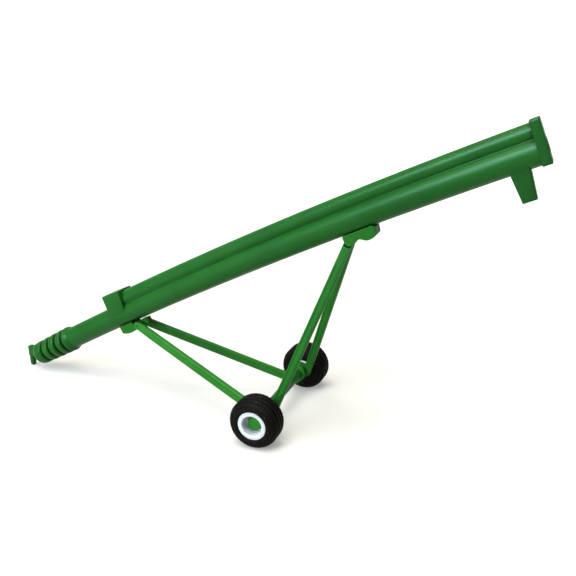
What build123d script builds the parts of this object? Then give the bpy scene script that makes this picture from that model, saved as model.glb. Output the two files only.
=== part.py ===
import os
from math import cos, degrees, radians, sin, sqrt

from build123d import *

# Scale-model portable grain auger, moulded in plastic. Millimetres, +Z up, +X towards the
# discharge end, +Y to the left. It stands on its two tyres and on the tip of its hitch pin.

# Driving dimensions
TYRE_R = 7.5
TYRE_W = 8.2
TRACK = 40.3                 # between the tyres' mid-planes
AXLE_X = 15.162              # puts the bounding box's middle over the origin
AXLE_Z = TYRE_R

BEND_R = 1605.0              # the whole tube bows upwards on this radius
MID_X = AXLE_X + 6.42        # tube station s = 0
MID_Z = 56.52
SLOPE = radians(24.8)        # slope of the tube at s = 0

MAIN_R = 3.65                # main tube
MAIN_BORE = 2.9
DRIVE_R = 2.37               # drive-shaft cover that rides on the main tube
DRIVE_SWELL = 0.35           # how much its radius grows towards the gearbox block
DRIVE_BORE = 1.45
DRIVE_H = 4.8                # its centre above the main tube's centre
CREASE_R = 0.7               # fillet between the cover and the tube

TUBE_START = -99.9           # stations along the tube
FRONT = -114.6
BLOCK_S = -70.0
TUBE_END = 65.8
PLATE_END = 68.25
SPOUT_S = 60.6

RING_PITCH = 3.55
RING_R = (4.35, 4.3, 4.2)
RING_GAP = 0.8
RING_CORE = 3.55
COLLAR_R = 4.4

LOWER_PIVOT = (-66.0, -5.2)  # (station, height above the tube's centre)
SHOE_PIVOT = (13.4, -5.15)
SHOE_TRAVEL = 8.0
PIN_LOWER_R = 0.55
PIN_SHOE_R = 0.5
SHOE_HALF = 2.4
NECK_HALF = 0.6
SLIP = 0.05                  # radial clearance of a running fit

LOWER_STRUT = (2.8, 1.5)     # depth, thickness
LIFT_STRUT = (2.45, 1.9)

AXLE_R = 1.0
SLEEVE_R = 1.5
SLEEVE_HALF = 15.9
HEAD_R = 2.3
HEAD_FLAT = 1.9
RIM_R = 4.31                 # outboard flange
BEAD_R = 3.75
HUB_R = 3.0                  # the narrow inboard side
RIM_HALF = 3.7
DISH_R = 3.0
DISH_FLOOR = 1.0             # outboard of the wheel's mid-plane

HITCH_X = AXLE_X - 99.56
HITCH_R = 1.04


# Stations along the bowed tube
BEND_X = MID_X + BEND_R * sin(SLOPE)
BEND_Z = MID_Z - BEND_R * cos(SLOPE)
BEND_AXIS = Axis((BEND_X, 0, BEND_Z), (0, 1, 0))


def point(s, n=0.0, y=0.0):
    """The point at station s, n above the tube's centre and y to the left."""
    lean = SLOPE - s / BEND_R
    reach = BEND_R + n
    return Vector(BEND_X - reach * sin(lean), y, BEND_Z + reach * cos(lean))


def tangent(s):
    """The tube's direction at station s, towards the discharge end."""
    lean = SLOPE - s / BEND_R
    return Vector(cos(lean), 0, sin(lean))


def cross_plane(s, n=0.0):
    """Plane across the tube: x to the left, y up, z along the tube."""
    return Plane(origin=point(s, n), x_dir=(0, 1, 0), z_dir=tangent(s))


def side_plane(s, n=0.0, y=0.0):
    """Side-view plane: x along the tube, y up, z to the right."""
    return Plane(origin=point(s, n, y), x_dir=tangent(s), z_dir=(0, -1, 0))


def axle_plane(y):
    """Side-view plane through the axle's line: x forwards, y up, z to the right."""
    return Plane(origin=(AXLE_X, y, AXLE_Z), x_dir=(1, 0, 0), z_dir=(0, -1, 0))


def turn(length):
    """Angle about the bend axis that covers a length of tube."""
    return degrees(length / BEND_R)


os.makedirs("parts", exist_ok=True)

# Body: two glued half shells, main tube with the drive cover and gearbox block on top
PEG_STATIONS = (-86.0, -50.0, -12.0, 44.0)
PEG_R = 0.45
SOCKET_R = 0.5
BOSS_R = 0.95
SLOT_START = SHOE_PIVOT[0] + 2.4 - SHOE_TRAVEL
SLOT_END = SHOE_PIVOT[0] + 8.0 + SHOE_TRAVEL
COVER_SECTIONS = 7


def tube_outline(swell):
    """Section through both tubes; the cover's radius grows by swell and its top stays level."""
    radius, height = DRIVE_R + swell, DRIVE_H - swell
    reach = MAIN_R + CREASE_R
    up = (reach ** 2 - (radius + CREASE_R) ** 2 + height ** 2) / (2 * height)
    crease = Vector(sqrt(reach ** 2 - up ** 2), up)
    low = crease * (MAIN_R / reach)
    high = crease + (Vector(0, height) - crease).normalized() * CREASE_R
    deep = crease + ((low + high) / 2 - crease).normalized() * CREASE_R
    with BuildSketch() as outline:
        with BuildLine():
            ThreePointArc((-low.X, low.Y), (0, -MAIN_R), (low.X, low.Y))
            ThreePointArc((low.X, low.Y), (deep.X, deep.Y), (high.X, high.Y))
            ThreePointArc((high.X, high.Y), (0, height + radius), (-high.X, high.Y))
            ThreePointArc((-high.X, high.Y), (-deep.X, deep.Y), (-low.X, low.Y))
        make_face()
    return outline.sketch


def body_shell(keep, hand):
    """One half of the body; hand is +1 on the left, with sockets, and -1 on the right, with pegs."""
    with BuildPart() as shell:
        with BuildSketch(cross_plane(TUBE_START)):
            Circle(MAIN_R)
        revolve(axis=BEND_AXIS, revolution_arc=turn(BLOCK_S - TUBE_START))
        # from the gearbox block on, both tubes together with a soft crease between them
        for i in range(COVER_SECTIONS):
            s = BLOCK_S + (TUBE_END - BLOCK_S) * i / (COVER_SECTIONS - 1)
            with BuildSketch(cross_plane(s)):
                add(tube_outline(DRIVE_SWELL * max(0.0, s / BLOCK_S)))
        loft()
        # rounded collar at the intake end
        with BuildSketch(side_plane(TUBE_START)) as collar:
            with BuildLine():
                Polyline((0, 0), (0, 3.6), (0.3, COLLAR_R - 0.25))
                Spline((0.3, COLLAR_R - 0.25), (1.1, COLLAR_R), (2.4, 4.0), (4.4, MAIN_R - 0.02),
                       tangents=((0.8, 0.8), (1, 0)))
                Polyline((4.4, MAIN_R - 0.02), (4.4, 0), (0, 0))
            make_face()
        revolve(axis=Axis(point(TUBE_START), tangent(TUBE_START)))
        # gearbox block
        with BuildSketch(side_plane(BLOCK_S)):
            Polygon((-3.2, 8.2), (3.95, 7.7), (2.6, 0), (-4.0, 0), align=None)
        extrude(amount=3.62, both=True)
        up = cross_plane(BLOCK_S).y_dir
        fillet(shell.edges().filter_by(lambda e: (e.center() - point(BLOCK_S)).dot(up) > 7.6
                                       and e.length > 6.5 and e.length < 8), 0.35)
        # bores
        with BuildSketch(cross_plane(TUBE_START - 1)):
            Circle(MAIN_BORE)
        revolve(axis=BEND_AXIS, revolution_arc=turn(TUBE_END - TUBE_START + 2), mode=Mode.SUBTRACT)
        with BuildSketch(cross_plane(BLOCK_S + 5)):
            with Locations((0, DRIVE_H)):
                Circle(DRIVE_BORE)
        revolve(axis=BEND_AXIS, revolution_arc=turn(TUBE_END - BLOCK_S), mode=Mode.SUBTRACT)
        # slot for the sliding shoe's neck, slot for the bracket's neck, hole for the spout's neck
        middle = (SLOT_START + SLOT_END) / 2
        with BuildSketch(side_plane(middle, -MAIN_R)):
            Rectangle(SLOT_END - SLOT_START, 2.6)
        extrude(amount=NECK_HALF + 0.15, both=True, mode=Mode.SUBTRACT)
        with BuildSketch(side_plane(LOWER_PIVOT[0] - 5.0, -MAIN_R)):
            Rectangle(3.0, 2.6)
        extrude(amount=NECK_HALF, both=True, mode=Mode.SUBTRACT)
        with BuildSketch(Plane(origin=point(SPOUT_S), z_dir=-cross_plane(SPOUT_S).y_dir)):
            Circle(1.5)
        extrude(amount=6, mode=Mode.SUBTRACT)
        split(bisect_by=Plane.XZ, keep=keep)
        # bosses that join the halves
        for s in PEG_STATIONS:
            with BuildSketch(side_plane(s)):
                Circle(BOSS_R)
            extrude(amount=-hand * 3.1)
            if hand > 0:
                with BuildSketch(side_plane(s)):
                    Circle(SOCKET_R)
                extrude(amount=-1.1, mode=Mode.SUBTRACT)
            else:
                with BuildSketch(side_plane(s)):
                    Circle(PEG_R)
                extrude(amount=-0.9)
    return shell


body_shell_left = body_shell(Keep.BOTTOM, 1)
body_shell_right = body_shell(Keep.TOP, -1)

# End plate that closes both tubes at the discharge end
PLATE = PLATE_END - TUBE_END
with BuildPart() as end_plate:
    with BuildSketch(cross_plane(TUBE_END)):
        with Locations((0, 2.02)):
            RectangleRounded(7.5, 11.4, 0.5)
    extrude(amount=PLATE)
    fillet(end_plate.edges().group_by(Axis(point(TUBE_END), tangent(TUBE_END)))[-1], 0.3)
    with BuildSketch(cross_plane(PLATE_END)):
        with Locations((0, 0.8)):
            Circle(1.95)
    extrude(amount=0.15)
    with BuildSketch(cross_plane(TUBE_END)):
        Circle(MAIN_BORE - 0.02)
        with Locations((0, DRIVE_H)):
            Circle(DRIVE_BORE - 0.02)
    extrude(amount=-2.2)

# Discharge spout: a tapered, hollow square chute under the tube
SPOUT_DROP = 10.9
spout_top = Plane(origin=point(SPOUT_S, -1.5), x_dir=tangent(SPOUT_S), z_dir=cross_plane(SPOUT_S).y_dir)
spout_end = Plane(origin=point(SPOUT_S, -SPOUT_DROP), x_dir=tangent(SPOUT_S), z_dir=spout_top.z_dir)
with BuildPart() as discharge_spout:
    with BuildSketch(spout_top):
        RectangleRounded(5.3, 5.2, 0.6)
    with BuildSketch(spout_end):
        RectangleRounded(3.65, 3.7, 0.5)
    loft()
    with BuildSketch(cross_plane(SPOUT_S - 4)):
        Circle(MAIN_R + 0.01)
    revolve(axis=BEND_AXIS, revolution_arc=turn(8), mode=Mode.SUBTRACT)
    with BuildSketch(Plane(origin=point(SPOUT_S, -4.6), z_dir=spout_top.z_dir)):
        Circle(1.48)
    extrude(amount=2.0)
    with BuildSketch(Plane(origin=point(SPOUT_S, -5.4), z_dir=spout_top.z_dir)):
        Circle(1.05)
    extrude(amount=4.0, mode=Mode.SUBTRACT)
    with BuildSketch(Plane(origin=point(SPOUT_S, -5.2), x_dir=spout_top.x_dir, z_dir=spout_top.z_dir)):
        RectangleRounded(3.5, 3.5, 0.4)
    with BuildSketch(Plane(origin=point(SPOUT_S, -SPOUT_DROP - 0.1), x_dir=spout_top.x_dir,
                           z_dir=spout_top.z_dir)):
        RectangleRounded(2.65, 2.7, 0.3)
    loft(mode=Mode.SUBTRACT)

# Intake end: a plug with four rounded rings that stand for the auger's flighting
low_axis = Axis(point(TUBE_START), tangent(TUBE_START))
NOSE = TUBE_START - FRONT
with BuildPart() as intake_rings:
    with BuildSketch(side_plane(TUBE_START)):
        with Locations((5, 0)):
            Rectangle(NOSE + 4.5, MAIN_BORE - 0.02, align=(Align.MAX, Align.MIN))
        Rectangle(NOSE - 0.6, RING_CORE, align=(Align.MAX, Align.MIN))
        for i, radius in enumerate(RING_R):
            with Locations((-0.3 - i * RING_PITCH, 0)):
                Rectangle(RING_PITCH - RING_GAP, radius, align=(Align.MAX, Align.MIN))
        with Locations((-0.3 - 3 * RING_PITCH, 0)):
            Rectangle(NOSE - 0.3 - 3 * RING_PITCH, 4.1, align=(Align.MAX, Align.MIN))
    revolve(axis=low_axis)
    crests = intake_rings.edges().filter_by(GeomType.CIRCLE).filter_by(
        lambda e: e.radius > RING_CORE + 0.1)
    nose = crests.sort_by(low_axis)[0]
    fillet(crests - ShapeList([nose]), 0.45)
    nose = intake_rings.edges().filter_by(GeomType.CIRCLE).filter_by(
        lambda e: e.radius > RING_CORE).sort_by(low_axis)[0]
    fillet(nose, 1.7)
    with BuildSketch(cross_plane(FRONT - 1, 1.9)):
        Circle(0.8)
    extrude(amount=4.0, mode=Mode.SUBTRACT)

# Hitch tongue: a block on the nose with a round pin that points down
with BuildPart() as hitch_tongue:
    with BuildSketch(Plane.XZ.offset(-HITCH_R)):
        with Locations((HITCH_X - HITCH_R, 4.0)):
            Rectangle(6.3, 3.6, align=(Align.MIN, Align.MIN))
    extrude(amount=2 * HITCH_R)
    fillet(hitch_tongue.edges().filter_by(Axis.Z).group_by(Axis.X)[0], 0.7)
    fillet(hitch_tongue.edges().group_by(Axis.Z)[-1].group_by(Axis.X)[0], 0.25)
    add(intake_rings.part, mode=Mode.SUBTRACT)
    with BuildSketch(Plane.XY.offset(HITCH_R)):
        with Locations((HITCH_X, 0)):
            Circle(HITCH_R)
    extrude(amount=3.6)
    with Locations((HITCH_X, 0, HITCH_R)):
        Sphere(HITCH_R)


# Lower bracket: a block that hooks into the tube, with a tongue for the lower frame's pin
def foot_groove():
    """The clearance round the main tube, cut from whatever sits under it."""
    with BuildPart() as groove:
        with BuildSketch(cross_plane(-90)):
            Circle(MAIN_R + 0.25)
            Circle(MAIN_R - 1.5, mode=Mode.SUBTRACT)
        revolve(axis=BEND_AXIS, revolution_arc=turn(140))
    return groove.part


under_tube = foot_groove()
lower_s, lower_n = LOWER_PIVOT
with BuildPart() as lower_bracket:
    with BuildSketch(side_plane(lower_s)):
        with BuildLine():
            Polyline((-1.6, -3.25), (-7.4, -3.25), (-7.4, -5.7))
            Spline((-7.4, -5.7), (-4.8, -6.55), (-2.2, -6.45))
            Polyline((-2.2, -6.45), (-1.6, -6.2), (-1.6, -3.25))
        make_face()
    extrude(amount=SHOE_HALF, both=True)
    fillet(lower_bracket.edges().filter_by(lambda e: abs(e.center().Y) > SHOE_HALF - 0.05), 0.3)
    with BuildSketch(side_plane(lower_s)):
        with Locations((0, lower_n)):
            Circle(1.2)
        with Locations((0.3, lower_n + 0.1)):
            Rectangle(6.6, 2.2)
    extrude(amount=1.15, both=True)
    add(under_tube, mode=Mode.SUBTRACT)
    with BuildSketch(side_plane(lower_s)):
        with Locations((-5.0, -3.4)):
            Rectangle(2.94, 2.4)
    extrude(amount=NECK_HALF - 0.03, both=True)
    with BuildSketch(side_plane(lower_s)):
        with Locations((-5.0, -1.9)):
            Rectangle(4.4, 1.0)
    extrude(amount=1.35, both=True)
    with BuildSketch(side_plane(lower_s, lower_n)):
        Circle(PIN_LOWER_R)
    extrude(amount=2, both=True, mode=Mode.SUBTRACT)

# Sliding shoe: two cheeks that hold the lift frame's pin in a short slot, and a T-head in the tube
shoe_s, shoe_n = SHOE_PIVOT
PIN_PLAY = 0.5               # the slot's extra length, which takes up the linkage's play
PIN_HALF = 2.0               # the slot is blind, so the cheeks' outsides stay whole
with BuildPart() as slide_shoe:
    with BuildSketch(side_plane(shoe_s)):
        with BuildLine():
            Polyline((-1.1, -3.25), (7.6, -3.3), (8.45, -4.0), (8.1, -5.95))
            Spline((8.1, -5.95), (5.9, -6.8), (4.6, -6.65), (3.4, -5.95), (2.0, -5.8))
            Polyline((2.0, -5.8), (0.9, -6.3))
            RadiusArc((0.9, -6.3), (-1.5, shoe_n), 1.42, short_sagitta=True)
            Polyline((-1.5, shoe_n), (-1.5, -3.65), (-1.1, -3.25))
        make_face()
    extrude(amount=SHOE_HALF, both=True)
    fillet(slide_shoe.edges().filter_by(lambda e: abs(e.center().Y) > SHOE_HALF - 0.05), 0.3)
    with BuildSketch(side_plane(shoe_s)):
        with Locations((1.5, -5)):
            Rectangle(8.0, 5.0, align=(Align.MAX, Align.CENTER))
    extrude(amount=1.6, both=True, mode=Mode.SUBTRACT)
    add(under_tube, mode=Mode.SUBTRACT)
    with BuildSketch(side_plane(shoe_s)):
        with Locations((5.2, -3.4)):
            Rectangle(5.4, 2.6)
    extrude(amount=NECK_HALF, both=True)
    with BuildSketch(side_plane(shoe_s)):
        with Locations((5.2, -1.85)):
            Rectangle(7.0, 1.0)
    extrude(amount=1.35, both=True)
    with BuildSketch(side_plane(shoe_s, shoe_n)):
        with Locations((-PIN_PLAY / 2, 0)):
            SlotOverall(2 * (PIN_SHOE_R + 0.07) + PIN_PLAY, 2 * (PIN_SHOE_R + 0.07))
    extrude(amount=PIN_HALF + 0.05, both=True, mode=Mode.SUBTRACT)


# Struts: bars with rounded edges between an eye at the tube and an eye at the axle
def bar(top, foot, depth, thickness):
    run = foot - top
    with BuildPart() as piece:
        with BuildSketch(Plane(origin=top, x_dir=(0, 1, 0), z_dir=run.normalized())):
            RectangleRounded(thickness, depth, 0.35)
        extrude(amount=run.length)
        # shallow ridges along both flat sides
        with BuildSketch(Plane(origin=top + run * 0.06, x_dir=(0, 1, 0), z_dir=run.normalized())):
            with Locations((-thickness / 2, 0.0), (thickness / 2, 0.0)):
                Rectangle(0.16, depth * 0.42)
        extrude(amount=run.length * 0.86)
    return piece.part


LOWER_TOP = point(lower_s, lower_n, 2.15)
LOWER_FOOT = Vector(AXLE_X - 1.0, 12.95, AXLE_Z - 2.5)
with BuildPart() as lower_strut_left:
    add(bar(LOWER_TOP, LOWER_FOOT, *LOWER_STRUT))
    with BuildSketch(side_plane(lower_s, lower_n, 3.0)):
        Circle(1.25)
    extrude(amount=1.75)
    with BuildSketch(axle_plane(13.75)):
        Circle(2.4)
        with Locations((-1.0, -2.5)):
            Circle(1.25)
        make_hull()
    extrude(amount=1.5)
    with BuildSketch(side_plane(lower_s, lower_n, 6)):
        Circle(PIN_LOWER_R + SLIP)
    extrude(amount=6, mode=Mode.SUBTRACT)
    with BuildSketch(axle_plane(16)):
        Circle(SLEEVE_R)
    extrude(amount=6, mode=Mode.SUBTRACT)
    # keep clear of the bracket's tongue and of the lift frame's eye
    with BuildSketch(side_plane(lower_s, lower_n, 1.25)):
        Circle(2.6)
    extrude(amount=2, mode=Mode.SUBTRACT)
    with BuildSketch(axle_plane(16)):
        Circle(3.9)
    extrude(amount=2.25, mode=Mode.SUBTRACT)

with BuildPart() as lower_strut_right:
    mirror(lower_strut_left.part, about=Plane.XZ)

LIFT_TOP = point(shoe_s, shoe_n, 0.78)
LIFT_FOOT = Vector(AXLE_X + 2.4, 14.8, AXLE_Z)
with BuildPart() as lift_strut_left:
    add(bar(LIFT_TOP, LIFT_FOOT, *LIFT_STRUT))
    with BuildSketch(side_plane(shoe_s, shoe_n, 1.5)):
        Circle(1.2)
    extrude(amount=1.45)
    with BuildSketch(axle_plane(15.75)):
        Circle(2.55)
        with Locations((2.4, 0.3)):
            Circle(1.2)
        make_hull()
    extrude(amount=1.9)
    with BuildSketch(side_plane(shoe_s, shoe_n, 6)):
        Circle(PIN_SHOE_R)
    extrude(amount=6, mode=Mode.SUBTRACT)
    with BuildSketch(axle_plane(17)):
        Circle(SLEEVE_R + SLIP)
    extrude(amount=6, mode=Mode.SUBTRACT)
    # trimmed to the middle plane, to the cheeks' inside and to the lower frame's eye
    with BuildSketch(side_plane(shoe_s, shoe_n, 0.05)):
        Circle(8)
    extrude(amount=3, mode=Mode.SUBTRACT)
    with BuildSketch(side_plane(shoe_s, shoe_n, 5)):
        Circle(2.0)
    extrude(amount=3.5, mode=Mode.SUBTRACT)
    with BuildSketch(axle_plane(13.85)):
        Circle(3.0)
    extrude(amount=3, mode=Mode.SUBTRACT)
    with BuildSketch(axle_plane(20)):
        Circle(4.5)
    extrude(amount=4.25, mode=Mode.SUBTRACT)

with BuildPart() as lift_strut_right:
    mirror(lift_strut_left.part, about=Plane.XZ)

# Pins
with BuildPart() as lower_pin:
    with BuildSketch(side_plane(lower_s, lower_n)):
        Circle(PIN_LOWER_R)
    extrude(amount=3.1, both=True)
    chamfer(lower_pin.edges().filter_by(GeomType.CIRCLE), 0.12)

with BuildPart() as shoe_pin:
    with BuildSketch(side_plane(shoe_s, shoe_n)):
        Circle(PIN_SHOE_R)
    extrude(amount=PIN_HALF, both=True)
    chamfer(shoe_pin.edges().filter_by(GeomType.CIRCLE), 0.1)

# Axle, its sleeve and the cap that keeps the left wheel on
HEAD_Y = TRACK / 2 + DISH_FLOOR + 0.1
HEAD_T = 0.85


def head_outline():
    """A round head with one flat side, facing the hitch."""
    with BuildSketch() as outline:
        Circle(HEAD_R)
        with Locations((-HEAD_FLAT, 0)):
            Rectangle(HEAD_R, 2 * HEAD_R, align=(Align.MAX, Align.CENTER), mode=Mode.SUBTRACT)
    return outline.sketch


with BuildPart() as axle:
    with BuildSketch(axle_plane(HEAD_Y + HEAD_T - 0.25)):
        Circle(AXLE_R)
    extrude(amount=2 * HEAD_Y + HEAD_T - 0.25)
    with BuildSketch(axle_plane(-HEAD_Y)):
        add(head_outline())
    extrude(amount=HEAD_T)
    fillet(axle.edges().group_by(Axis.Y)[0], 0.2)

with BuildPart() as axle_cap:
    with BuildSketch(axle_plane(HEAD_Y + HEAD_T)):
        add(head_outline())
    extrude(amount=HEAD_T)
    fillet(axle_cap.edges().group_by(Axis.Y)[-1], 0.2)
    with BuildSketch(axle_plane(HEAD_Y + HEAD_T - 0.25)):
        Circle(AXLE_R)
    extrude(amount=HEAD_T, mode=Mode.SUBTRACT)

with BuildPart() as axle_sleeve:
    with BuildSketch(axle_plane(SLEEVE_HALF)):
        Circle(SLEEVE_R)
        Circle(AXLE_R, mode=Mode.SUBTRACT)
    extrude(amount=2 * SLEEVE_HALF)


# Wheels: profile drawn as (outboard, radius), revolved about the axle
def wheel_plane(hand):
    return Plane(origin=(AXLE_X, hand * TRACK / 2, AXLE_Z), x_dir=(0, hand, 0), z_dir=(-hand, 0, 0))


WHEEL_AXIS = Axis((AXLE_X, 0, AXLE_Z), (0, 1, 0))
TREAD_HALF = 1.5
SHOULDER_R = TYRE_W / 2 - TREAD_HALF


def make_tyre(hand):
    with BuildPart() as tyre:
        with BuildSketch(wheel_plane(hand)):
            with BuildLine():
                side = TYRE_W / 2
                belly = TYRE_R - SHOULDER_R
                Line((-TREAD_HALF, TYRE_R), (TREAD_HALF, TYRE_R))
                RadiusArc((TREAD_HALF, TYRE_R), (side, belly), SHOULDER_R)
                Polyline((side, belly), (RIM_HALF, RIM_R + 0.02), (3.1, RIM_R + 0.02), (3.1, BEAD_R),
                         (-2.6, BEAD_R), (-2.6, HUB_R + 0.02), (-RIM_HALF, HUB_R + 0.02), (-side, belly))
                RadiusArc((-side, belly), (-TREAD_HALF, TYRE_R), SHOULDER_R)
            make_face()
            for offset in (-1.5, -0.5, 0.5, 1.5):
                with Locations((offset, TYRE_R)):
                    Rectangle(0.3, 0.36, mode=Mode.SUBTRACT)
        revolve(axis=WHEEL_AXIS)
    return tyre


def make_rim(hand):
    with BuildPart() as rim:
        with BuildSketch(wheel_plane(hand)) as profile:
            Rectangle(2 * RIM_HALF, HUB_R, align=(Align.CENTER, Align.MIN))
            with Locations((-2.6, 0)):
                Rectangle(2.6 + RIM_HALF, BEAD_R, align=(Align.MIN, Align.MIN))
            with Locations((RIM_HALF, 0)):
                Rectangle(0.6, RIM_R, align=(Align.MAX, Align.MIN))
            fillet(profile.vertices().filter_by(lambda v: v.X > 3.6 and v.Y > 4.2), 0.25)
            fillet(profile.vertices().filter_by(lambda v: v.X < -3.6 and v.Y > 2.9), 0.15)
            with Locations((DISH_FLOOR, 0)):
                Rectangle(4, DISH_R, align=(Align.MIN, Align.MIN), mode=Mode.SUBTRACT)
            with Locations((-0.2, 1.6)):
                Rectangle(4, 0.9, align=(Align.MAX, Align.MIN), mode=Mode.SUBTRACT)
            Rectangle(12, AXLE_R + SLIP, align=(Align.CENTER, Align.MIN), mode=Mode.SUBTRACT)
        revolve(axis=WHEEL_AXIS)
    return rim


tyre_left = make_tyre(1)
tyre_right = make_tyre(-1)
wheel_left = make_rim(1)
wheel_right = make_rim(-1)

PIECES = {
    "body_shell_left": body_shell_left,
    "body_shell_right": body_shell_right,
    "end_plate": end_plate,
    "discharge_spout": discharge_spout,
    "intake_rings": intake_rings,
    "hitch_tongue": hitch_tongue,
    "lower_bracket": lower_bracket,
    "lower_pin": lower_pin,
    "slide_shoe": slide_shoe,
    "shoe_pin": shoe_pin,
    "lower_strut_left": lower_strut_left,
    "lower_strut_right": lower_strut_right,
    "lift_strut_left": lift_strut_left,
    "lift_strut_right": lift_strut_right,
    "axle_sleeve": axle_sleeve,
    "axle": axle,
    "axle_cap": axle_cap,
    "tyre_left": tyre_left,
    "tyre_right": tyre_right,
    "wheel_left": wheel_left,
    "wheel_right": wheel_right,
}
for name, piece in PIECES.items():
    piece.part.label = name
    export_step(piece.part, f"parts/{name}.step")
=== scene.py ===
import math

import bmesh
import bpy
from mathutils import Euler, Matrix, Vector


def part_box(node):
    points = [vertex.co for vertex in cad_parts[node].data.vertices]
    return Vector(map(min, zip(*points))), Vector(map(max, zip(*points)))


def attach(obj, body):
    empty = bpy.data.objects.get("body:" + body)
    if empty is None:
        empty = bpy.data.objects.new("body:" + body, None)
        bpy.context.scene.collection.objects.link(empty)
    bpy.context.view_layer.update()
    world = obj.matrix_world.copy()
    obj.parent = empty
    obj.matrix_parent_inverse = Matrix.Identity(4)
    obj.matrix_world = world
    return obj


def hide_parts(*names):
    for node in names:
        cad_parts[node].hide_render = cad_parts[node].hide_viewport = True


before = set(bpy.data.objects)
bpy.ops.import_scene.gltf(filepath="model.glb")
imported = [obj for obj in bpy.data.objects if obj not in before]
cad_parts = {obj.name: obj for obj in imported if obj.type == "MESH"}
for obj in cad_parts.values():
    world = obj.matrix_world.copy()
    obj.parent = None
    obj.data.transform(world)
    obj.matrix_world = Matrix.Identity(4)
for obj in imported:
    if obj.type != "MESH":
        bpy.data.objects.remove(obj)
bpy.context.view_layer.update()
bpy.context.scene.view_settings.view_transform = "Standard"

# The looks of a toy grain auger: its outer shells, end plate, spout, rings, wheels, tyres and strut
# ribs are made here, and its struts, pins, axle and feet are the CAD's own.
# Shapes and the camera are in millimetres, scaled by MM as they are made. Lights are in metres.
MM = 0.001


def middle(node):
    low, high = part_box(node)
    return (low + high) / 2 / MM


AXLE = middle("axle_sleeve")
WHEEL_Y = abs(middle("tyre_right").y)
TYRE_R = (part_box("tyre_right")[1].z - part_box("tyre_right")[0].z) / 2 / MM

# the bowed tube: station s along it, height n above its centre
BEND_R = 1605.0
SLOPE = math.radians(24.8)
TUBE_AHEAD = 6.42            # station 0, from the axle
TUBE_ABOVE = 49.02
BEND_X = AXLE.x + TUBE_AHEAD + BEND_R * math.sin(SLOPE)
BEND_Z = AXLE.z + TUBE_ABOVE - BEND_R * math.cos(SLOPE)
TUBE_START = -99.9
BLOCK_S = -70.0
TUBE_END = 65.8
SPOUT_S = 60.6
SLOT = (7.8, 29.4)           # the shoe's slot along the tube's underside
SLOT_HALF = 0.75

MAIN_R = 3.65
MAIN_BORE = 2.9
DRIVE_R = 2.37
DRIVE_BORE = 1.45
DRIVE_H = 4.8                # the drive tube's centre above the main tube's
DRIVE_SWELL = 0.35           # how much wider the drive tube is at the gearbox block
CREASE_R = 0.3
COLLAR_R = 4.4
COLLAR_FACE_R = 3.6
MOUTH = 1.7                  # how far the collar's end stands in from the tube's start
SEAM = 0.02                  # half the hairline gap between the two shells
SEAM_EDGE = 0.03             # chamfer along both shells' edges

# struts: depth and thickness
LOWER_STRUT = (2.8, 1.5)
LIFT_STRUT = (2.45, 1.9)


def tube_point(s, n=0.0, y=0.0):
    lean = SLOPE - s / BEND_R
    reach = BEND_R + n
    return Vector((BEND_X - reach * math.sin(lean), y, BEND_Z + reach * math.cos(lean)))


def tube_along(s):
    lean = SLOPE - s / BEND_R
    return Vector((math.cos(lean), 0, math.sin(lean)))


def tube_up(s):
    lean = SLOPE - s / BEND_R
    return Vector((-math.sin(lean), 0, math.cos(lean)))


def tube_frame(s):
    return tube_point(s), tube_along(s), tube_up(s)


def sideways(y):
    return Vector((0, y, 0))


def about_tube(s, rise=0.0):
    """Places a lathe's points around a line along the tube, rise above its centre."""
    place, along, up = tube_frame(s)
    return lambda t, r, a: place + along * t + up * (rise + r * math.cos(a)) + sideways(r * math.sin(a))


# ---- camera -----------------------------------------------------------------------------------
def make_camera():
    """At the photograph's distance and angle."""
    at = Vector((AXLE.x + 69.67, -168.75, 100.25)) * MM
    yaw, pitch, roll = 0.3824, -0.3144, -0.0085
    data = bpy.data.cameras.new("camera")
    data.sensor_width = 36.0
    data.lens = 40.6
    data.clip_start = 0.005
    data.clip_end = 10.0
    camera = bpy.data.objects.new("camera", data)
    turn = Euler((math.pi / 2 + pitch, 0, yaw)).to_matrix().to_4x4()
    camera.matrix_world = Matrix.Translation(at) @ turn @ Matrix.Rotation(roll, 4, "Z")
    bpy.context.scene.collection.objects.link(camera)
    bpy.context.scene.camera = camera


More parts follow.
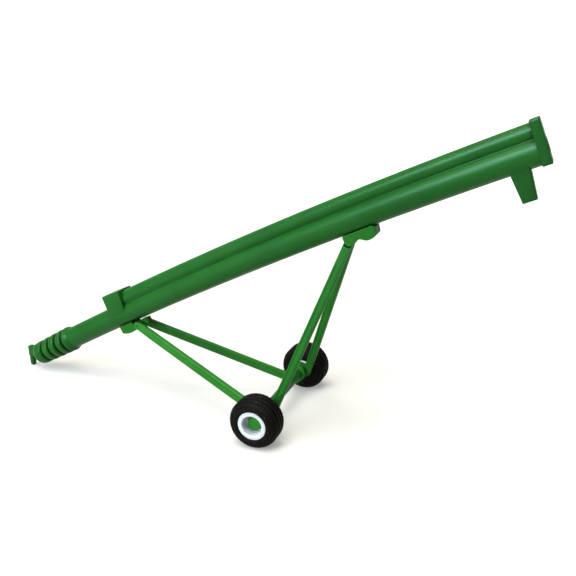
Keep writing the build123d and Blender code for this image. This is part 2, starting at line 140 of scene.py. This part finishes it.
# ---- node helpers -----------------------------------------------------------------------------
class Nodes:
    """A material's node tree, with short calls for the nodes that these materials use."""

    def __init__(self, name):
        self.material = bpy.data.materials.new(name)
        self.material.use_nodes = True
        self.tree = self.material.node_tree
        self.shader = self.tree.nodes["Principled BSDF"]
        self.place = self.add("ShaderNodeTexCoord").outputs["Object"]

    def add(self, kind, **settings):
        node = self.tree.nodes.new(kind)
        for key, value in settings.items():
            setattr(node, key, value)
        return node

    def link(self, source, target):
        self.tree.links.new(source, target)

    def stretched(self, scale):
        """Places scaled along and across the tube."""
        mapping = self.add("ShaderNodeMapping")
        mapping.inputs["Scale"].default_value = scale
        mapping.inputs["Rotation"].default_value = (0, SLOPE, 0)
        self.link(self.place, mapping.inputs["Vector"])
        return mapping.outputs["Vector"]

    def noise(self, scale, detail=3.0, roughness=0.55, vector=None):
        node = self.add("ShaderNodeTexNoise")
        node.inputs["Scale"].default_value = scale
        node.inputs["Detail"].default_value = detail
        node.inputs["Roughness"].default_value = roughness
        self.link(vector or self.place, node.inputs["Vector"])
        return node.outputs["Fac"]

    def ramp(self, source, low, high, low_value=0.0, high_value=1.0):
        node = self.add("ShaderNodeMapRange", clamp=True)
        node.inputs["From Min"].default_value = low
        node.inputs["From Max"].default_value = high
        node.inputs["To Min"].default_value = low_value
        node.inputs["To Max"].default_value = high_value
        self.link(source, node.inputs["Value"])
        return node.outputs["Result"]

    def mix(self, factor, first, second):
        node = self.add("ShaderNodeMix", data_type="RGBA")
        self.link(factor, node.inputs["Factor"])
        for value, socket in ((first, node.inputs["A"]), (second, node.inputs["B"])):
            if isinstance(value, tuple):
                socket.default_value = (*value, 1.0)
            else:
                self.link(value, socket)
        return node.outputs["Result"]

    def sum(self, first, second, share):
        """first + share * second"""
        node = self.add("ShaderNodeMath", operation="MULTIPLY_ADD")
        self.link(second, node.inputs[0])
        node.inputs[1].default_value = share
        self.link(first, node.inputs[2])
        return node.outputs[0]

    def openness(self, distance):
        """0 where a point lies deep in a groove, 1 on a free face."""
        node = self.add("ShaderNodeAmbientOcclusion", samples=8)
        node.inputs["Distance"].default_value = distance
        return self.ramp(node.outputs["AO"], 0.3, 0.8)

    def bump(self, height, distance, strength=1.0):
        node = self.add("ShaderNodeBump")
        node.inputs["Strength"].default_value = strength
        node.inputs["Distance"].default_value = distance
        self.link(height, node.inputs["Height"])
        self.link(node.outputs["Normal"], self.shader.inputs["Normal"])

    def set(self, **values):
        for key, value in values.items():
            self.shader.inputs[key.replace("_", " ")].default_value = value


# ---- materials --------------------------------------------------------------------------------
def moulded_plastic(name, dark, light, worn, rough, shine):
    """Satin moulded plastic: cloudy pigment, flow lines along the tube, orange peel and scuffs, with
    painted shade darkening its grooves and crevices.
    """
    m = Nodes(name)
    cloud = m.ramp(m.noise(70, 2.0), 0.35, 0.65)
    flow = m.noise(1.0, 3.0, 0.6, m.stretched((45, 700, 700)))
    pigment = m.mix(cloud, dark, light)
    streaked = m.mix(m.ramp(flow, 0.45, 0.75, 0.0, 0.35), pigment, light)
    scuff = m.ramp(m.noise(520, 5.0, 0.7), 0.62, 0.74, 0.0, 0.5)
    surface = m.mix(scuff, streaked, worn)
    # painted shade: an ambient-occlusion mask darkens the colour to a third of the dark pigment in
    # grooves and crevices
    groove = tuple(v * 0.3 for v in dark)
    m.link(m.mix(m.openness(0.002), groove, surface), m.shader.inputs["Base Color"])
    grain = m.noise(1500, 4.0, 0.6)
    gloss = m.sum(m.ramp(grain, 0.3, 0.7, rough - 0.05, rough + 0.05), scuff, 0.22)
    m.link(gloss, m.shader.inputs["Roughness"])
    peel = m.sum(m.noise(2600, 2.0), m.noise(260, 2.0), 0.8)
    m.bump(m.sum(peel, flow, 0.9), 0.00003, 0.55)
    m.set(Specular_IOR_Level=shine)
    return m.material


def tyre_rubber():
    """Black rubber, with painted shade that makes it blackest in its grooves, pale dust in patches and
    fine pores.
    """
    m = Nodes("tyre_rubber")
    dust = m.ramp(m.noise(330, 5.0, 0.65), 0.5, 0.8, 0.0, 0.55)
    # painted shade: an ambient-occlusion mask darkens the rubber in its grooves
    shaded_in_grooves = m.mix(m.openness(0.0012), (0.0002, 0.0002, 0.0001), (0.003, 0.0026, 0.0018))
    worn = m.mix(dust, shaded_in_grooves, (0.0075, 0.0064, 0.0044))
    specks = m.ramp(m.noise(950, 2.0), 0.69, 0.73, 0.0, 0.7)
    m.link(m.mix(specks, worn, (0.09, 0.08, 0.05)), m.shader.inputs["Base Color"])
    pores = m.noise(2400, 4.0, 0.7)
    m.link(m.sum(m.ramp(pores, 0.3, 0.7, 0.46, 0.62), dust, 0.25), m.shader.inputs["Roughness"])
    m.bump(m.sum(pores, m.noise(700, 3.0), 0.8), 0.00005, 0.5)
    m.set(Specular_IOR_Level=0.05)
    return m.material


def white_plastic():
    """Glossy white plastic, a little cool, with faint handling marks."""
    m = Nodes("white_plastic")
    haze = m.ramp(m.noise(240, 4.0, 0.6), 0.4, 0.75)
    m.link(m.mix(haze, (0.487, 0.533, 0.57), (0.447, 0.49, 0.528)), m.shader.inputs["Base Color"])
    m.link(m.ramp(m.noise(900, 4.0, 0.6), 0.3, 0.7, 0.2, 0.34), m.shader.inputs["Roughness"])
    m.bump(m.noise(1400, 2.0), 0.00002, 0.35)
    return m.material


def floor_paper():
    """Pale matt card that glows: painted light that lightens the shadows near the auger, and glows more
    with distance, so that it meets the white background.
    """
    m = Nodes("floor_paper")
    tone = m.ramp(m.noise(9, 3.0), 0.3, 0.7)
    m.link(m.mix(tone, (0.49, 0.485, 0.475), (0.465, 0.46, 0.45)), m.shader.inputs["Base Color"])
    m.link(m.ramp(m.noise(400, 3.0), 0.3, 0.7, 0.8, 0.95), m.shader.inputs["Roughness"])
    m.bump(m.noise(1800, 3.0), 0.00005, 0.2)
    reach = m.add("ShaderNodeVectorMath", operation="LENGTH")
    m.link(m.place, reach.inputs[0])
    # painted light: emission 0.26 near the auger lifts its cast shadows, rising to 0.9 far off
    m.link(m.ramp(reach.outputs["Value"], 0.13, 0.5, 0.26, 0.9), m.shader.inputs["Emission Strength"])
    m.shader.inputs["Emission Color"].default_value = (1, 1, 1, 1)
    m.set(Specular_IOR_Level=0.2)
    return m.material


GREEN = moulded_plastic("green_plastic", (0.0036, 0.059, 0.0056), (0.0052, 0.074, 0.0072),
                        (0.012, 0.1, 0.016), 0.34, 0.12)
STRUT = moulded_plastic("strut_plastic", (0.0115, 0.118, 0.0105), (0.017, 0.148, 0.0145),
                        (0.038, 0.19, 0.036), 0.42, 0.09)
# painted shade: a darker copy of the body's green plastic, for the end plate and spout, whose upright
# faces take less light
SHADED_GREEN = moulded_plastic("shaded_green_plastic", (0.0027, 0.046, 0.0043), (0.0039, 0.059, 0.0056),
                       (0.009, 0.082, 0.0125), 0.34, 0.12)
RUBBER = tyre_rubber()
WHITE = white_plastic()
# painted shade: a darker copy of the strut plastic, standing in for the shade on the upright lift
# struts; the shoe, pins and lower bracket wear it too
SHADED_STRUT = moulded_plastic("shaded_strut_plastic", (0.0075, 0.086, 0.0075), (0.0105, 0.105, 0.0095),
                              (0.026, 0.14, 0.026), 0.45, 0.07)


# ---- mesh helpers -----------------------------------------------------------------------------
def finish_piece(name, bm, material, body, replaced, sharp=38):
    """Makes the object, smooth except at edges over sharp degrees, and ties it to its body."""
    bmesh.ops.recalc_face_normals(bm, faces=bm.faces)
    mesh = bpy.data.meshes.new(name)
    bm.to_mesh(mesh)
    bm.free()
    for polygon in mesh.polygons:
        polygon.use_smooth = True
    mesh.set_sharp_from_angle(angle=math.radians(sharp))
    mesh.materials.append(material)
    piece = bpy.data.objects.new(name, mesh)
    bpy.context.scene.collection.objects.link(piece)
    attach(piece, body)
    if replaced:
        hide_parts(*replaced)


def add_rings(bm, rings, caps=True):
    """Quads between closed rings of points; caps closes the two ends."""
    made = [[bm.verts.new(p * MM) for p in ring] for ring in rings]
    count = len(made[0])
    for low, high in zip(made, made[1:]):
        for i in range(count):
            j = (i + 1) % count
            bm.faces.new((low[i], low[j], high[j], high[i]))
    if caps:
        bm.faces.new(made[0][::-1])
        bm.faces.new(made[-1])
    return made


def arc(cx, cy, radius, start, end, count):
    """Points of an arc in a plane, angles in degrees, both ends included."""
    angles = [math.radians(start + (end - start) * i / (count - 1)) for i in range(count)]
    return [(cx + radius * math.cos(a), cy + radius * math.sin(a)) for a in angles]


def add_lathe(bm, profile, place, segments=96, shape=None, hollow=False):
    """Revolves (along, radius) points. place(along, radius, angle) gives the point, and shape may
    change a radius by its index and angle. A hollow profile closes on itself, any other is capped."""
    rings = []
    for i, (along, radius) in enumerate(profile):
        ring = []
        for k in range(segments):
            angle = 2 * math.pi * k / segments
            r = shape(i, angle, radius) if shape else radius
            ring.append(place(along, r, angle))
        rings.append(ring)
    made = add_rings(bm, rings, caps=not hollow)
    if hollow:
        for i in range(segments):
            j = (i + 1) % segments
            bm.faces.new((made[-1][i], made[-1][j], made[0][j], made[0][i]))


def rounded_rect(width, height, radius):
    """Outline points of a rectangle with round corners, anticlockwise."""
    points = []
    for k, (sx, sy) in enumerate(((1, 1), (-1, 1), (-1, -1), (1, -1))):
        points += arc(sx * (width / 2 - radius), sy * (height / 2 - radius), radius,
                      90 * k, 90 * k + 90, 6)
    return points


# ---- body -------------------------------------------------------------------------------------
def half_outline(swell, start):
    """Half of the section through both tubes: outside upwards from y = start, then the bores
    down. A small arc fills the crease where the two outsides meet."""
    radius, height = DRIVE_R + swell, DRIVE_H - swell
    reach = MAIN_R + CREASE_R
    up = (reach ** 2 - (radius + CREASE_R) ** 2 + height ** 2) / (2 * height)
    out = math.sqrt(reach ** 2 - up ** 2)
    low = math.degrees(math.atan2(up, out))
    high = math.degrees(math.atan2(up - height, out))
    first = -90 + math.degrees(math.asin(start / MAIN_R))
    edge = math.degrees(SEAM_EDGE / MAIN_R)
    points = arc(0, 0, MAIN_R, first + edge, low, 40)
    points += arc(out, up, CREASE_R, 180 + low, 180 + high, 9)[1:-1]
    points += arc(0, height, radius, high, 90 - edge - math.degrees(SEAM / radius), 26)
    points += [(SEAM, height + radius - SEAM_EDGE)]
    points += arc(0, DRIVE_H, DRIVE_BORE, 89, -89, 14)
    bore_end = -90 + math.degrees(math.asin(start / MAIN_BORE))
    points += arc(0, 0, MAIN_BORE, 89.5, bore_end, 22)
    points += [(start, -math.sqrt((MAIN_R - SEAM_EDGE) ** 2 - start ** 2))]
    return points


def plain_outline(radius):
    """Half of the section through the main tube alone."""
    first = -90 + math.degrees(math.asin(SEAM / radius))
    edge = math.degrees(SEAM_EDGE / radius)
    points = arc(0, 0, radius, first + edge, 90 - edge - math.degrees(SEAM / radius), 46)
    points += [(SEAM, radius - SEAM_EDGE)]
    points += arc(0, 0, MAIN_BORE, 89.5, -89.5, 22)
    return points + [(SEAM, -radius + SEAM_EDGE)]


def across(s, hand, outline):
    return [tube_point(s, n, hand * y) for y, n in outline]


def collar_radius(u):
    """Outside radius u millimetres in from the collar's end."""
    lip, blend = 0.9, 2.1
    if u < lip:
        swell = math.sqrt(max(0.0, 1 - (1 - u / lip) ** 2))
        return COLLAR_FACE_R + (COLLAR_R - COLLAR_FACE_R) * swell
    if u < lip + blend:
        return MAIN_R + (COLLAR_R - MAIN_R) * (0.5 + 0.5 * math.cos(math.pi * (u - lip) / blend))
    return MAIN_R


def add_block(bm, hand):
    """The gearbox block, one half of it."""
    corners = ((-3.2, 8.2), (3.95, 7.7), (2.6, 0.0), (-4.0, 0.0))      # (along, up)
    half_width, rounding = 3.62, 0.22
    place, along, up = tube_frame(BLOCK_S)
    inner, outer = ([bm.verts.new((place + along * u + up * n + sideways(hand * y)) * MM)
                     for u, n in corners] for y in (SEAM, half_width))
    count = len(corners)
    sides = [bm.faces.new((inner[i], inner[(i + 1) % count], outer[(i + 1) % count], outer[i]))
             for i in range(count)]
    bm.faces.new(inner[::-1])
    face = bm.faces.new(outer)
    edges = set(face.edges) | {e for f in sides for e in f.edges
                               if (e.verts[0] in outer) != (e.verts[1] in outer)}
    bmesh.ops.bevel(bm, geom=list(edges), offset=rounding * MM, segments=3, profile=0.5,
                    affect="EDGES")


def add_intake_tube(bm, hand):
    """From the collar's end to just inside the gearbox block, closest together on the collar."""
    collar = [0.0, 0.04, 0.12, 0.25, 0.42, 0.65, 0.9, 1.2, 1.5, 1.8, 2.1, 2.4, 2.7, 3.0]
    steps = 16
    end = TUBE_START + MOUTH
    rest = BLOCK_S + 1 - end - collar[-1]
    places = collar + [collar[-1] + rest * (i + 1) / steps for i in range(steps)]
    add_rings(bm, [across(end + u, hand, plain_outline(collar_radius(u))) for u in places])


def add_double_tube(bm, hand):
    """From the gearbox block to the high end, open below along the shoe's slot."""
    stations = []
    count = 110
    for i in range(count + 1):
        s = BLOCK_S + (TUBE_END - BLOCK_S) * i / count
        for edge, before, after in ((SLOT[0], SEAM, SLOT_HALF), (SLOT[1], SLOT_HALF, SEAM)):
            if stations and stations[-1][0] < edge <= s:
                stations += [(edge, before), (edge, after)]
        stations.append((s, SLOT_HALF if SLOT[0] < s < SLOT[1] else SEAM))
    add_rings(bm, [across(s, hand, half_outline(DRIVE_SWELL * max(0.0, s / BLOCK_S), start))
                   for s, start in stations])


def make_shell(side, hand):
    bm = bmesh.new()
    add_intake_tube(bm, hand)
    add_double_tube(bm, hand)
    add_block(bm, hand)
    finish_piece("shell_" + side, bm, GREEN, "body", ["body_shell_" + side])


def make_end_plate():
    """A rectangular plate with soft edges and a low round boss on its face."""
    width, height, thick, corner, rise = 7.5, 11.4, 2.45, 0.5, 2.02
    edge, back = 0.3, 0.12
    boss_r, boss_rise = 1.95, 0.8
    bm = bmesh.new()
    place, along, up = tube_frame(TUBE_END)

    def ring(t, inset):
        outline = rounded_rect(width - 2 * inset, height - 2 * inset, corner - 0.8 * inset)
        return [place + along * t + sideways(y) + up * (n + rise) for y, n in outline]

    rings = [ring(back * (1 - math.cos(a)), back * (1 - math.sin(a)))
             for a in (math.pi / 2 * i / 3 for i in range(4))]
    rings += [ring(thick - edge * (1 - math.sin(a)), edge * (1 - math.cos(a)))
              for a in (math.pi / 2 * i / 5 for i in range(6))]
    add_rings(bm, rings)
    boss = [(thick - 0.3, boss_r), (thick + 0.05, boss_r), (thick + 0.12, boss_r - 0.05),
            (thick + 0.15, boss_r - 0.15)]
    add_lathe(bm, boss, about_tube(TUBE_END, boss_rise), 48)
    finish_piece("plate_end", bm, SHADED_GREEN, "body", ["end_plate"])


def make_spout():
    """A tapered square chute, open at its lower end up to a floor inside it."""
    top, end, inner_top = -1.5, -10.9, -5.4
    top_width, end_width = 5.3, 3.65
    top_depth, end_depth = 5.2, 3.7
    lip = 0.12
    bm = bmesh.new()
    place, along, up = tube_frame(SPOUT_S)

    def ring(n, width, depth, radius):
        outline = rounded_rect(width, depth, radius)
        return [place + along * u + sideways(y) + up * n for u, y in outline]

    def outside(n, inset=0.0):
        share = (n - top) / (end - top)
        return ring(n, top_width + (end_width - top_width) * share - 2 * inset,
                    top_depth + (end_depth - top_depth) * share - 2 * inset, 0.6 - 0.1 * share)

    rings = [outside(top + (end + lip - top) * i / 12) for i in range(13)]
    rings += [outside(end + lip / 3, lip / 3), outside(end, lip)]
    rings += [ring(end + 0.02, 2.85, 2.9, 0.35), ring(end + 0.15, 2.68, 2.72, 0.3),
              ring(inner_top, 3.45, 3.45, 0.4), ring(inner_top + 0.15, 3.2, 3.2, 0.4)]
    add_rings(bm, rings)
    finish_piece("spout", bm, SHADED_GREEN, "body", ["discharge_spout"])


def make_rings():
    """The intake end: a spigot in the tube's mouth, three rounded rings on a core, and a domed
    nose."""
    radii = (4.35, 4.3, 4.2)
    nose, nose_r, dome = -14.7, 4.1, 2.1
    pitch, gap, core, crest = 3.65, 1.2, 3.1, 0.8
    spigot, spigot_end, axis_r = 2.88, 4.5, 0.2
    start = MOUTH - 0.9
    face = MOUTH + 0.02
    profile = [(spigot_end, axis_r), (spigot_end, spigot - 0.18), (spigot_end - 0.2, spigot),
               (face, spigot), (face, core)]
    for i, radius in enumerate(radii):
        right = start - i * pitch
        left = right - pitch + gap
        profile += [(right + 0.05, core), (right, core + 0.06)]
        profile += arc(right - crest, radius - crest, crest, 0, 90, 7)
        profile += arc(left + crest, radius - crest, crest, 90, 180, 7)
        profile += [(left, core + 0.06), (left - 0.05, core)]
    right = start - len(radii) * pitch
    profile += [(right + 0.05, core), (right, core + 0.06)]
    profile += arc(right - crest, nose_r - crest, crest, 0, 75, 6)
    profile += arc(nose + dome, nose_r - dome, dome, 90, 180, 14)
    profile += [(nose, 1.0), (nose, axis_r)]
    bm = bmesh.new()
    add_lathe(bm, profile, about_tube(TUBE_START))
    finish_piece("flighting_rings", bm, GREEN, "body", ["intake_rings"], 50)


# ---- struts -----------------------------------------------------------------------------------
RIB_WIDTH = 0.42
RIB_HEIGHT = 0.2


def add_rib(bm, start, end, out, rise):
    """A low moulded rib with slanting sides that stands on a strut's face and sinks in at its
    ends."""
    half = RIB_WIDTH / 2
    outline = [(-half, -0.1), (-half, RIB_HEIGHT * 0.5), (-half * 0.6, RIB_HEIGHT),
               (half * 0.6, RIB_HEIGHT), (half, RIB_HEIGHT * 0.5), (half, -0.1)]
    slant = (end - start) * 0.03
    add_rings(bm, [[p + rise * u + out * (v - sink) for u, v in outline]
                   for p, sink in ((start, RIB_HEIGHT), (start + slant, 0), (end - slant, 0),
                                   (end, RIB_HEIGHT))])


def make_ribs(name, top, foot, size, reach, body, material):
    """Ribs along both edges of both flat sides of a strut; reach is the part of its length that
    they cover."""
    depth, thickness = size
    line = foot - top
    run = line.normalized()
    side = (sideways(1) - run * sideways(1).dot(run)).normalized()
    rise = run.cross(side)
    bm = bmesh.new()
    for face in (-1, 1):
        for edge in (-1, 1):
            base = top + side * face * thickness / 2 + rise * edge * (depth / 2 - RIB_WIDTH)
            add_rib(bm, base + line * reach[0], base + line * reach[1], side * face, rise)
    finish_piece(name, bm, material, body, [])


def make_strut_ribs(name, hand):
    lower_foot = Vector((AXLE.x - 1.0, hand * 12.95, AXLE.z - 2.5))
    make_ribs("lower_ribs_" + name, tube_point(-66.0, -5.2, hand * 2.15), lower_foot, LOWER_STRUT,
              (0.07, 0.9), "lower_frame", STRUT)
    lift_foot = Vector((AXLE.x + 2.4, hand * 14.8, AXLE.z))
    make_ribs("lift_ribs_" + name, tube_point(13.4, -5.15, hand * 0.78), lift_foot, LIFT_STRUT,
              (0.13, 0.9), "lift_frame", SHADED_STRUT)


# ---- wheels -----------------------------------------------------------------------------------
LUGS = 40
LUG_DEPTH = 0.13


def about_axle(hand):
    """Places a lathe's points around the axle, outboard of the wheel's middle plane."""
    def place(out, r, a):
        return Vector((AXLE.x + r * math.sin(a), hand * (WHEEL_Y + out), AXLE.z + r * math.cos(a)))
    return place


def tyre_profile():
    """((outboard, radius), has lugs) from the outboard bead over the tread to the inboard bead.
    The sidewall is an arc with two grooved lines, and the tread has three grooves."""
    sidewall, sidewall_out = 2.6, 1.5
    groove = ((0.43, 0.0), (0.36, 0.06), (0.3, 0.6))
    bead = [(3.1, 3.78), (3.1, 4.33), (3.68, 4.34), (3.86, 4.42), (3.95, 4.55), (4.02, 4.66),
            (3.98, 4.74), (4.04, 4.82)]
    points = [(p, False) for p in bead]
    for i in range(20):
        a = math.radians(2 + 80 * i / 19)
        r = sidewall - (0.24 if i in (5, 6, 12, 13) else 0.0)
        point = (sidewall_out + r * math.cos(a), TYRE_R - sidewall + r * math.sin(a))
        points.append((point, 6 < i < 18))
    outer = points[4:]
    for centre in (1.4, 0, -1.4):
        points += [((centre + u, TYRE_R - v), False) for u, v in groove]
        points += [((centre - u, TYRE_R - v), False) for u, v in groove[::-1]]
    points += [((-x, r), lugs) for (x, r), lugs in outer[::-1]]
    inner_bead = [(-3.98, 4.4), (-3.86, 3.4), (-3.7, 3.04), (-2.6, 3.03), (-2.6, 3.78)]
    return points + [(p, False) for p in inner_bead]


def make_tyre(side, hand):
    bm = bmesh.new()
    marked = tyre_profile()

    def shape(i, angle, radius):
        (out, _), lugs = marked[i]
        if not lugs:
            return radius
        wave = math.cos(LUGS * angle + (0 if out > 0 else math.pi))
        return radius - LUG_DEPTH * min(1.0, max(0.0, wave * 2.4 - 1.1))

    add_lathe(bm, [p for p, _ in marked], about_axle(hand), LUGS * 8, shape, hollow=True)
    finish_piece("rubber_" + side, bm, RUBBER, side + "_wheel", ["tyre_" + side], 50)


def make_rim(side, hand):
    """White wheel: hub bore, dish, rounded flange, barrel, and a groove around the inboard hub."""
    bore, dish_r, flange_r, barrel_r = 1.06, 3.0, 4.31, 3.76
    edge, lip, inner_lip = 3.7, 0.28, 0.15
    profile = [(1.0, bore)] + arc(1.0 + lip, dish_r - lip, lip, -180, -270, 6)
    profile += [(edge - lip, dish_r)]
    profile += arc(edge - lip, dish_r + lip, lip, -90, 0, 7)[1:]
    profile += arc(edge - lip, flange_r - lip, lip, 0, 90, 7)[1:]
    profile += [(3.12, flange_r), (3.1, barrel_r), (-2.58, barrel_r), (-2.6, dish_r)]
    profile += arc(-edge + inner_lip, dish_r - inner_lip, inner_lip, 90, 180, 5)
    profile += [(-edge, 2.55), (-edge + 0.1, 2.5), (-0.2, 2.45), (-0.2, 1.65), (-edge + 0.1, 1.6),
                (-edge, 1.55), (-edge, bore)]
    bm = bmesh.new()
    add_lathe(bm, profile, about_axle(hand), hollow=True)
    finish_piece("rim_" + side, bm, WHITE, side + "_wheel", ["wheel_" + side])


# ---- CAD nodes that stay, in better materials -------------------------------------------------
def dress_cad_nodes():
    dressed = ((GREEN, ("hitch_tongue", "axle_sleeve")),
               (STRUT, ("axle", "axle_cap", "lower_strut_left", "lower_strut_right")),
               (SHADED_STRUT, ("lift_strut_left", "lift_strut_right", "slide_shoe", "shoe_pin",
                              "lower_bracket", "lower_pin")))
    for material, nodes in dressed:
        for node in nodes:
            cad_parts[node].material_slots[0].material = material


# ---- stage ------------------------------------------------------------------------------------
def area_light(name, at, aim, size, power, colour, spread):
    """A round light at one place, aimed at another."""
    data = bpy.data.lights.new(name, "AREA")
    data.shape = "DISK"
    data.size = size
    data.energy = power
    data.color = colour
    data.spread = math.radians(spread)
    light = bpy.data.objects.new(name, data)
    light.location = at
    light.rotation_euler = (Vector(aim) - Vector(at)).to_track_quat("-Z", "Y").to_euler()
    bpy.context.scene.collection.objects.link(light)
    return light


def make_world():
    """White to the camera. For lighting, a soft room: bright overhead, to the left and behind,
    with strength = up * left + back."""
    world = bpy.data.worlds.new("world")
    world.use_nodes = True
    tree = world.node_tree
    lit = tree.nodes["Background"]
    seen = tree.nodes.new("ShaderNodeBackground")
    seen.inputs["Color"].default_value = (1, 1, 1, 1)
    seen.inputs["Strength"].default_value = 1.1
    split = tree.nodes.new("ShaderNodeSeparateXYZ")
    tree.links.new(tree.nodes.new("ShaderNodeTexCoord").outputs["Generated"], split.inputs[0])
    parts = []
    for axis, start, end, low, high in (("Z", 0.05, 0.9, 0.08, 0.75),
                                        ("X", -0.9, 0.9, 1.7, 0.2),
                                        ("Y", 0.2, 1.0, 0.0, 0.35)):
        part = tree.nodes.new("ShaderNodeMapRange")
        for key, value in zip(("From Min", "From Max", "To Min", "To Max"), (start, end, low, high)):
            part.inputs[key].default_value = value
        tree.links.new(split.outputs[axis], part.inputs["Value"])
        parts.append(part.outputs["Result"])
    total = tree.nodes.new("ShaderNodeMath")
    total.operation = "MULTIPLY_ADD"
    for source, target in zip(parts, total.inputs):
        tree.links.new(source, target)
    tree.links.new(total.outputs[0], lit.inputs["Strength"])
    lit.inputs["Color"].default_value = (1.0, 0.99, 0.96, 1)
    ray = tree.nodes.new("ShaderNodeLightPath")
    chosen = tree.nodes.new("ShaderNodeMixShader")
    tree.links.new(ray.outputs["Is Camera Ray"], chosen.inputs["Fac"])
    tree.links.new(lit.outputs[0], chosen.inputs[1])
    tree.links.new(seen.outputs[0], chosen.inputs[2])
    tree.links.new(chosen.outputs[0], tree.nodes["World Output"].inputs["Surface"])
    bpy.context.scene.world = world


def make_floor():
    mesh = bpy.data.meshes.new("floor")
    bm = bmesh.new()
    bmesh.ops.create_grid(bm, x_segments=2, y_segments=2, size=6.0)
    bm.to_mesh(mesh)
    bm.free()
    floor = bpy.data.objects.new("floor", mesh)
    bpy.context.scene.collection.objects.link(floor)
    mesh.materials.append(floor_paper())


def make_lights():
    """A cool window and a low light at the left for the low end, two lights that show only as the
    highlights along the high end, and a warm ceiling."""
    centre = Vector((0, 0, 0.045))
    low_end = Vector((-0.03, 0, 0.02))
    high_end = Vector((0.095, 0, 0.085))
    window_blue, highlight_blue = (0.6, 0.83, 1.0), (0.6, 0.78, 1.0)
    area_light("window", centre + Vector((-0.17, -0.7, 0.7)) * 0.75, low_end, 0.5, 0.56, window_blue, 90)
    low_light = area_light("left_window", Vector((-0.3, -0.34, 0.13)), low_end, 0.2, 0.52,
                           (0.95, 0.98, 1.0), 85)
    low_light.visible_glossy = False
    for name, towards, size, power in (("strip", (-0.09, -0.95, 0.3), 0.13, 0.11),
                                       ("pane", (-0.2, -0.76, 0.7), 0.4, 1.6)):
        light = area_light(name, centre + Vector(towards) * 0.7, high_end, size, power,
                           highlight_blue, 60)
        light.visible_diffuse = False
    area_light("ceiling", centre + Vector((0.0, -0.2, 0.95)) * 0.8, centre, 0.65, 8.8,
               (1.0, 0.95, 0.8), 180)


HANDS = (("left", 1), ("right", -1))

make_camera()
for side, hand in HANDS:
    make_shell(side, hand)
make_end_plate()
make_spout()
make_rings()
for side, hand in HANDS:
    make_tyre(side, hand)
    make_rim(side, hand)
    make_strut_ribs(side, hand)
dress_cad_nodes()
make_floor()
make_world()
make_lights()
